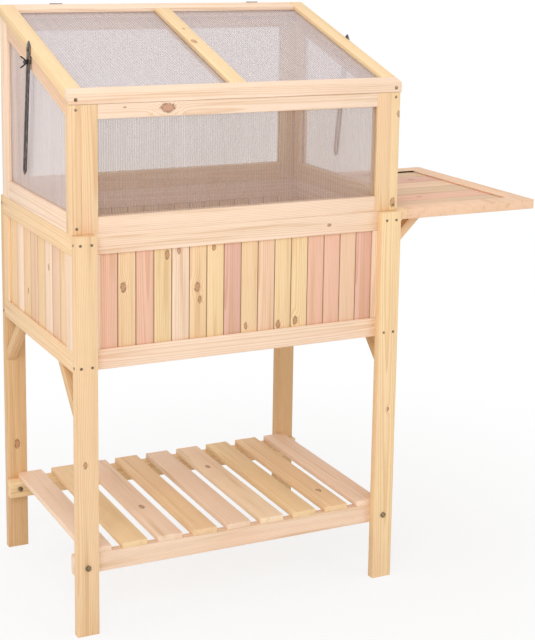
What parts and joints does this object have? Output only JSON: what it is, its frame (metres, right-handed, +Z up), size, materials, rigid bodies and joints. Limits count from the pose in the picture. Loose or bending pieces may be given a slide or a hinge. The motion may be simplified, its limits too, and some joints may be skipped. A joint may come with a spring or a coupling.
{
  "type": "cold frame",
  "caption": "Raised wooden planter on legs with a glazed box and sloping hinged lid above, slotted lid stays, a slatted bottom shelf and a side shelf.",
  "frame": {"origin": "on the floor, at the middle of the whole outline seen from above: legs, side shelf and lid stays", "axes": "+Z up; -Y is the front, with the low edge of the lid; +X is towards the side shelf"},
  "size_m": [1.1558, 0.534, 1.2985],
  "materials": {
    "pale_fir": "planed, natural",
    "rose_fir": "planed, natural, pinkish",
    "clear_sheet": "fluted twin-wall plastic sheet",
    "dark_steel": "dark bronzed steel",
    "fixings": "dull bronzed heads"
  },
  "bodies": {
    "frame": {"back_panel_boards": "rose_fir", "back_panel_bottom_rail": "rose_fir", "back_panel_top_rail": "rose_fir", "floor_bearers": "pale_fir", "floor_boards": "pale_fir", "front_frame_bottom": "pale_fir", "front_frame_stiles": "pale_fir", "front_frame_top": "pale_fir", "front_pane": "clear_sheet", "front_panel_boards": "rose_fir", "front_panel_bottom_rail": "rose_fir", "front_panel_top_rail": "rose_fir", "front_posts": "pale_fir", "hinge_fixed_leaves": "dark_steel", "left_bottom_rail": "pale_fir", "left_panel_boards": "rose_fir", "left_panel_bottom_rail": "rose_fir", "left_panel_top_rail": "rose_fir", "left_top_rail": "pale_fir", "leg_back_left": "pale_fir", "leg_back_right": "pale_fir", "leg_braces": "pale_fir", "leg_front_left": "pale_fir", "leg_front_right": "pale_fir", "nail_heads": "fixings", "panel_stiles": "rose_fir", "rear_frame_bottom": "pale_fir", "rear_frame_stiles": "pale_fir", "rear_frame_top": "pale_fir", "rear_pane": "clear_sheet", "rear_stiles": "pale_fir", "right_bottom_rail": "pale_fir", "right_panel_boards": "rose_fir", "right_panel_bottom_rail": "rose_fir", "right_panel_top_rail": "rose_fir", "right_top_rail": "pale_fir", "shelf_back_rail": "pale_fir", "shelf_bolts": "fixings", "shelf_front_rail": "pale_fir", "shelf_slats": "pale_fir", "side_panes": "clear_sheet", "side_shelf_batten": "rose_fir", "side_shelf_boards": "rose_fir", "side_shelf_braces": "rose_fir", "side_shelf_rails": "rose_fir"},
    "lid": {"lid_front_rail": "pale_fir", "lid_left_bar": "pale_fir", "lid_right_bar": "pale_fir", "lid_back_rail": "pale_fir", "lid_centre_bar": "pale_fir", "lid_panes": "clear_sheet", "hinge_lid_leaves": "dark_steel", "lid_screws": "fixings"},
    "left_stay_arm": {"left_stay": "dark_steel"},
    "left_clamp_bolt": {"left_stay_bolt": "dark_steel"},
    "left_clamp_nut": {"left_wing_nut": "dark_steel"},
    "right_stay_arm": {"right_stay": "dark_steel"},
    "right_clamp_bolt": {"right_stay_bolt": "dark_steel"},
    "right_clamp_nut": {"right_wing_nut": "dark_steel"}
  },
  "joints": [
    {"name": "lid_hinge", "type": "hinge", "parent": "frame", "child": "lid", "pos_m": [-0.1741, 0.2484, 1.274], "axis": [-1, 0, 0], "range_deg": [0, 45]},
    {"name": "left_stay_pivot", "type": "hinge", "parent": "lid", "child": "left_stay_arm", "pos_m": [-0.5571, 0.013, 1.21448], "axis": [1, 0, 0], "range_deg": [0, 30.31]},
    {"name": "left_bolt_slide", "type": "slide", "parent": "left_stay_arm", "child": "left_clamp_bolt", "axis": [0, 0.1478, -0.989], "range_m": [0, 0.18485]},
    {"name": "left_nut_spin", "type": "hinge", "parent": "left_clamp_bolt", "child": "left_clamp_nut", "pos_m": [-0.5571, 0.01699, 1.18778], "axis": [-1, 0, 0], "continuous": true},
    {"name": "right_stay_pivot", "type": "hinge", "parent": "lid", "child": "right_stay_arm", "pos_m": [0.2089, 0.013, 1.21448], "axis": [1, 0, 0], "range_deg": [0, 30.31]},
    {"name": "right_bolt_slide", "type": "slide", "parent": "right_stay_arm", "child": "right_clamp_bolt", "axis": [0, 0.1478, -0.989], "range_m": [0, 0.18485]},
    {"name": "right_nut_spin", "type": "hinge", "parent": "right_clamp_bolt", "child": "right_clamp_nut", "pos_m": [0.2089, 0.01699, 1.18778], "axis": [1, 0, 0], "continuous": true}
  ],
  "couplings": [
    {"joint": "left_stay_pivot", "follows": "lid_hinge", "ratio": 0.67337},
    {"joint": "left_bolt_slide", "follows": "lid_hinge", "m_per_rad": 0.23533},
    {"joint": "right_stay_pivot", "follows": "lid_hinge", "ratio": 0.67337},
    {"joint": "right_bolt_slide", "follows": "lid_hinge", "m_per_rad": 0.23533}
  ]
}
